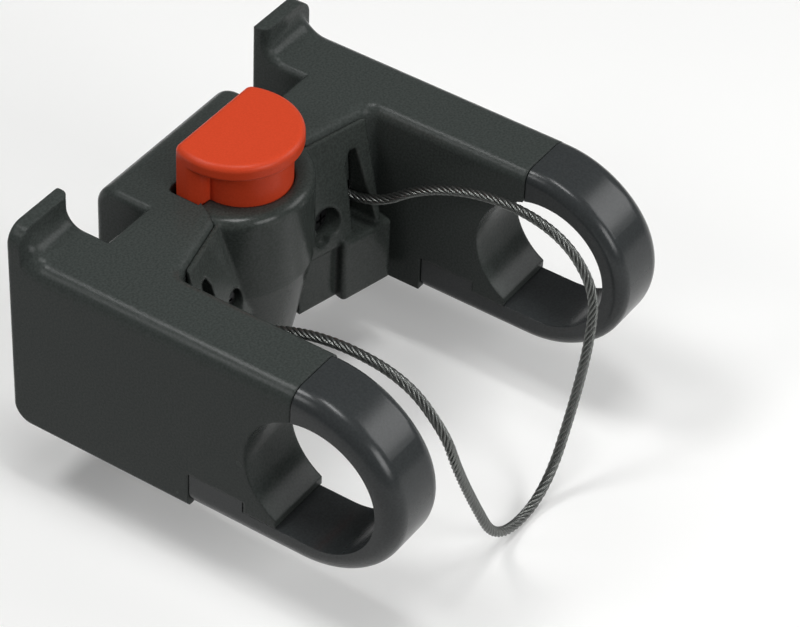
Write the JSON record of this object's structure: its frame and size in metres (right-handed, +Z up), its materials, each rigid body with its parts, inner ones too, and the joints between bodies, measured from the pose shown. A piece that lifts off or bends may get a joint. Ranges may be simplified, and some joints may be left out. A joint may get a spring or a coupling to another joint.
{
  "type": "handlebar bag mount",
  "caption": "Quick-release handlebar bag mount: a forked bracket with bar clamps, upturned hooks, a sprung push button with a latch nose, and a steel cable loop for the stem.",
  "frame": {"origin": "on the handlebar's axis, midway between the two clamps", "axes": "+X along the bar to the rider's right, +Y forward to the bag, +Z up"},
  "size_m": [0.102, 0.0971, 0.0736],
  "materials": {
    "bracket_plastic": "fine moulded grain",
    "cover_plastic": "fine moulded grain",
    "clamp_plastic": "satin",
    "button_plastic": "satin",
    "spring_steel": "drawn wire",
    "screw_steel": "black oxide",
    "bolt_steel": "zinc plated",
    "washer_steel": "zinc plated",
    "ferrule_steel": "plain",
    "cable_steel": "stranded, dark"
  },
  "bodies": {
    "bracket": {"bracket": "bracket_plastic", "latch_cover": "cover_plastic", "button_spring": "spring_steel", "left_cover_screw": "screw_steel", "right_cover_screw": "screw_steel", "left_clamp": "clamp_plastic", "right_clamp": "clamp_plastic", "left_clamp_screw": "bolt_steel", "right_clamp_screw": "bolt_steel", "left_clamp_washer": "washer_steel", "right_clamp_washer": "washer_steel", "left_clamp_nut": "washer_steel", "right_clamp_nut": "washer_steel", "left_cable_ferrule": "ferrule_steel", "right_cable_ferrule": "ferrule_steel", "safety_cable": "cable_steel"},
    "button": {"release_button": "button_plastic"}
  },
  "joints": [
    {"name": "button_press", "type": "slide", "parent": "bracket", "child": "button", "axis": [0, 0, -1], "range_m": [0, 0.006], "stiffness_N_per_m": 1800, "springref_m": -0.004, "deforming": ["button_spring"]}
  ]
}
